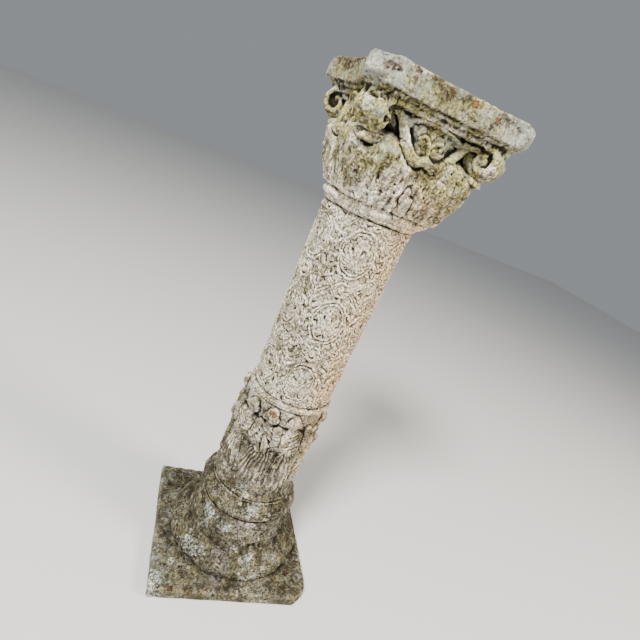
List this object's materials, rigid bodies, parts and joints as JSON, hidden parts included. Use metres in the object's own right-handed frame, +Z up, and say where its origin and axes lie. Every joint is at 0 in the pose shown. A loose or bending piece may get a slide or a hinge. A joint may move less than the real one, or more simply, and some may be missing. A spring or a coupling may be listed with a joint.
{
  "type": "column pedestal",
  "caption": "Cast column pedestal: square plinth, round base, drum of draped figures, shaft with leafy ovals, scrolled leaf capital and a flat square slab.",
  "frame": {"origin": "centre of the plinth's underside", "axes": "+Z up the column, +X and +Y square to the plinth's sides, with the broken plinth corner at +X -Y"},
  "size_m": [0.261, 0.261, 0.7935],
  "materials": {
    "cast_stone": "rough, weathered and pitted, with lichen and moss"
  },
  "bodies": {
    "root": {"column_pedestal": "cast_stone"}
  },
  "joints": []
}
